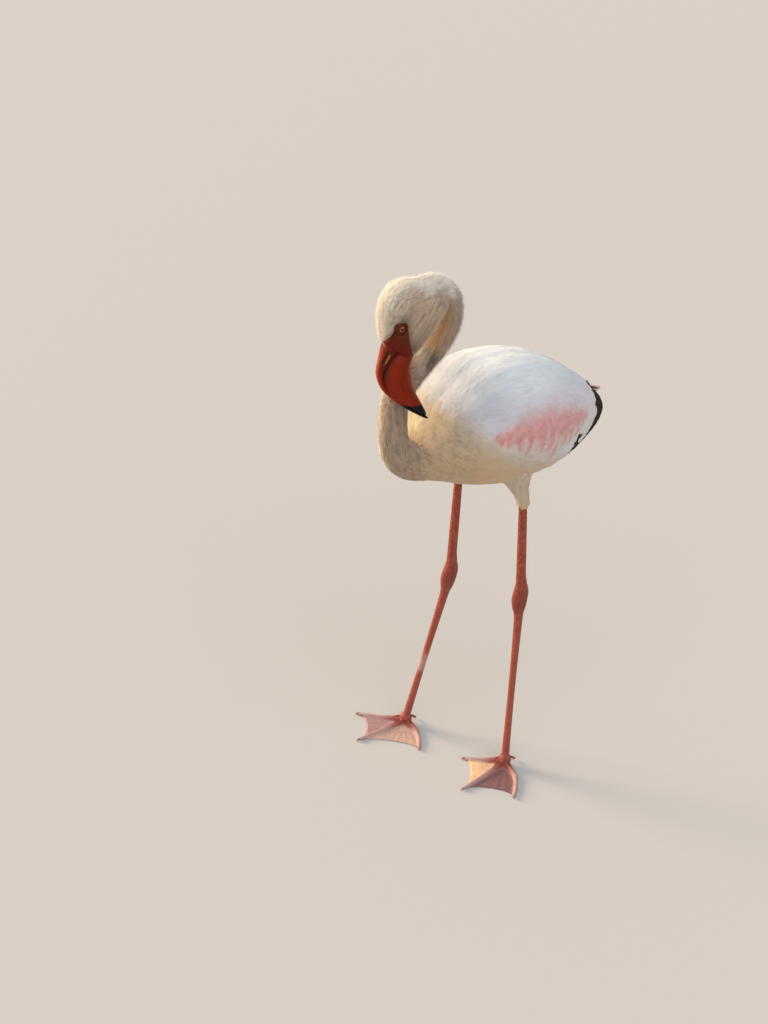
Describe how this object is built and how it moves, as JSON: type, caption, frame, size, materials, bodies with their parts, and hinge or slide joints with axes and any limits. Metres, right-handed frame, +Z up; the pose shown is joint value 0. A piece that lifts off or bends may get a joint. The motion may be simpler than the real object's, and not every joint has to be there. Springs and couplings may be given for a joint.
{
  "type": "lesser flamingo, life-size still model",
  "caption": "Pale young lesser flamingo standing on both feet, neck folded in an S, head hung down and the dark red bill pointing at the floor.",
  "frame": {"origin": "middle of the bird's bounding box, on the floor between its feet", "axes": "+Z up, the bird faces -Y and its left side is towards +X"},
  "size_m": [0.2246, 0.3314, 0.6324],
  "materials": {
    "white_plumage": "matte overlapping feathers, cool white on the back and warm cream below, with rose-pink wing coverts low on the flank",
    "grey_buff_down": "short soft grey-buff down feathers",
    "black_flight_feathers": "smooth matte black vanes",
    "bill": "satin keratin, deep crimson with a black tip",
    "eye": "wet orange-yellow iris with a black pupil",
    "leg_skin": "finely scaled coral-red skin",
    "web_skin": "thin wrinkled pinkish-orange web",
    "claw_horn": "dull dark horn"
  },
  "bodies": {
    "root": {"ankle_left": "leg_skin", "ankle_right": "leg_skin", "bill_lower": "bill", "bill_upper": "bill", "claw_inner_left": "claw_horn", "claw_inner_right": "claw_horn", "claw_middle_left": "claw_horn", "claw_middle_right": "claw_horn", "claw_outer_left": "claw_horn", "claw_outer_right": "claw_horn", "eye_left": "eye", "eye_right": "eye", "foot_left": "leg_skin", "foot_right": "leg_skin", "hallux_left": "leg_skin", "hallux_right": "leg_skin", "head": "grey_buff_down", "neck_1": "grey_buff_down", "neck_2": "grey_buff_down", "neck_3": "grey_buff_down", "neck_4": "grey_buff_down", "neck_5": "grey_buff_down", "neck_6": "grey_buff_down", "primaries_left": "black_flight_feathers", "primaries_right": "black_flight_feathers", "shank_left": "leg_skin", "shank_right": "leg_skin", "tail": "white_plumage", "tarsus_left": "leg_skin", "tarsus_right": "leg_skin", "thigh_left": "white_plumage", "thigh_right": "white_plumage", "toe_inner_left": "leg_skin", "toe_inner_right": "leg_skin", "toe_middle_left": "leg_skin", "toe_middle_right": "leg_skin", "toe_outer_left": "leg_skin", "toe_outer_right": "leg_skin", "trunk": "white_plumage", "web_inner_left": "web_skin", "web_inner_right": "web_skin", "web_outer_left": "web_skin", "web_outer_right": "web_skin", "wing_left": "white_plumage", "wing_right": "white_plumage"}
  },
  "joints": []
}
